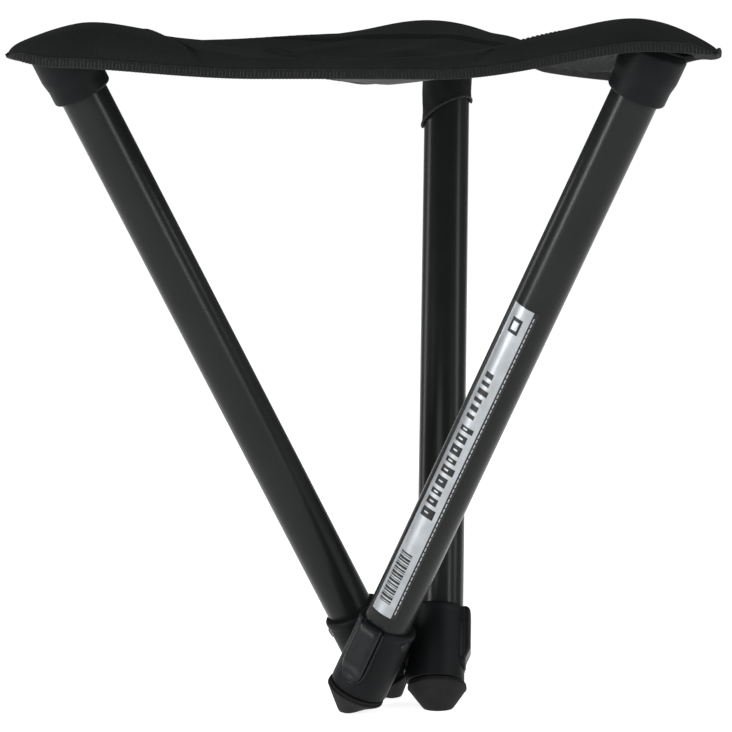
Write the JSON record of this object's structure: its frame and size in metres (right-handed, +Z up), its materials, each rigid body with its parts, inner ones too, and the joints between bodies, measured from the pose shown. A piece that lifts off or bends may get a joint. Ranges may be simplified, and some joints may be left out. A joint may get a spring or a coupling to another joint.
{
  "type": "three leg stool",
  "caption": "Folding camp stool with a triangular sling seat on crossing telescopic legs that hinge on one hub near the floor.",
  "frame": {"origin": "middle of the footprint box on the floor, under the open stool", "axes": "+Z up, +Y towards the rear leg, +X to the right"},
  "size_m": [0.3832, 0.336, 0.3805],
  "materials": {
    "anodised": "satin black anodised",
    "bare_aluminium": "drawn, bare",
    "moulded": "fine moulded grain, black",
    "rubber": "moulded, matt",
    "woven": "tight black polyester weave",
    "steel": "zinc plated",
    "foil": "silver printed film"
  },
  "bodies": {
    "hub": {"hub_block": "moulded", "hub_pin_right": "steel", "hub_pin_left": "steel", "hub_pin_rear": "steel"},
    "leg_right": {"outer_tube_right": "anodised", "collar_right": "moulded", "collar_rivet_right": "steel", "top_cap_right": "moulded", "cap_rivet_right": "steel", "seat_corner_right": "woven", "button_spring_right": "steel", "label": "foil"},
    "inner_leg_right": {"inner_tube_right": "bare_aluminium", "glide_bush_right": "moulded", "snap_pin_right": "steel", "foot_right": "rubber"},
    "button_right": {"release_button_right": "moulded"},
    "flap_right": {"seat_panel_right": "woven"},
    "leg_left": {"outer_tube_left": "anodised", "collar_left": "moulded", "collar_rivet_left": "steel", "top_cap_left": "moulded", "cap_rivet_left": "steel", "seat_corner_left": "woven", "button_spring_left": "steel"},
    "inner_leg_left": {"inner_tube_left": "bare_aluminium", "glide_bush_left": "moulded", "snap_pin_left": "steel", "foot_left": "rubber"},
    "button_left": {"release_button_left": "moulded"},
    "flap_left": {"seat_panel_left": "woven"},
    "leg_rear": {"outer_tube_rear": "anodised", "collar_rear": "moulded", "collar_rivet_rear": "steel", "top_cap_rear": "moulded", "cap_rivet_rear": "steel", "seat_corner_rear": "woven", "button_spring_rear": "steel"},
    "inner_leg_rear": {"inner_tube_rear": "bare_aluminium", "glide_bush_rear": "moulded", "snap_pin_rear": "steel", "foot_rear": "rubber"},
    "button_rear": {"release_button_rear": "moulded"},
    "flap_rear": {"seat_panel_rear": "woven"}
  },
  "joints": [
    {"name": "fold_right", "type": "hinge", "parent": "hub", "child": "leg_right", "pos_m": [-0.00952, -0.07498, 0.0268], "axis": [-0.3689, -0.9295, 0], "range_deg": [0, 28.2], "deforming": ["seat_panel_right", "seat_corner_right", "seat_panel_left", "seat_corner_left", "seat_panel_rear", "seat_corner_rear"]},
    {"name": "fold_left", "type": "hinge", "parent": "hub", "child": "leg_left", "pos_m": [-0.01601, -0.03077, 0.0268], "axis": [-0.6205, 0.7842, 0], "range_deg": [0, 28.2]},
    {"name": "fold_rear", "type": "hinge", "parent": "hub", "child": "leg_rear", "pos_m": [0.02553, -0.04725, 0.0268], "axis": [0.9894, 0.1452, 0], "range_deg": [0, 28.2]},
    {"name": "panel_right", "type": "hinge", "parent": "leg_right", "child": "flap_right", "pos_m": [0.15387, -0.13984, 0.362], "axis": [-0.3689, -0.9295, 0], "range_deg": [0, 62]},
    {"name": "panel_left", "type": "hinge", "parent": "leg_left", "child": "flap_left", "pos_m": [-0.15387, -0.13984, 0.362], "axis": [-0.6205, 0.7842, 0], "range_deg": [0, 62]},
    {"name": "panel_rear", "type": "hinge", "parent": "leg_rear", "child": "flap_rear", "pos_m": [0, 0.12667, 0.362], "axis": [0.9894, 0.1452, 0], "range_deg": [0, 62]},
    {"name": "extend_right", "type": "slide", "parent": "leg_right", "child": "inner_leg_right", "axis": [-0.4392, 0.1743, -0.8813], "range_m": [0, 0.25]},
    {"name": "extend_left", "type": "slide", "parent": "leg_left", "child": "inner_leg_left", "axis": [0.3706, 0.2932, -0.8813], "range_m": [0, 0.25]},
    {"name": "extend_rear", "type": "slide", "parent": "leg_rear", "child": "inner_leg_rear", "axis": [0.0686, -0.4675, -0.8813], "range_m": [0, 0.25]},
    {"name": "press_right", "type": "slide", "parent": "leg_right", "child": "button_right", "axis": [0.3689, 0.9295, 0], "range_m": [0, 0.0012], "stiffness_N_per_m": 400, "springref_m": -0.003, "deforming": ["button_spring_right"]},
    {"name": "press_left", "type": "slide", "parent": "leg_left", "child": "button_left", "axis": [0.6205, -0.7842, 0], "range_m": [0, 0.0012], "stiffness_N_per_m": 400, "springref_m": -0.003, "deforming": ["button_spring_left"]},
    {"name": "press_rear", "type": "slide", "parent": "leg_rear", "child": "button_rear", "axis": [-0.9894, -0.1452, 0], "range_m": [0, 0.0012], "stiffness_N_per_m": 400, "springref_m": -0.003, "deforming": ["button_spring_rear"]}
  ],
  "couplings": [
    {"joint": "fold_left", "follows": "fold_right", "ratio": 1},
    {"joint": "fold_rear", "follows": "fold_right", "ratio": 1},
    {"joint": "panel_right", "follows": "fold_right", "ratio": 2.1915},
    {"joint": "panel_left", "follows": "fold_right", "ratio": 2.1915},
    {"joint": "panel_rear", "follows": "fold_right", "ratio": 2.1915}
  ]
}
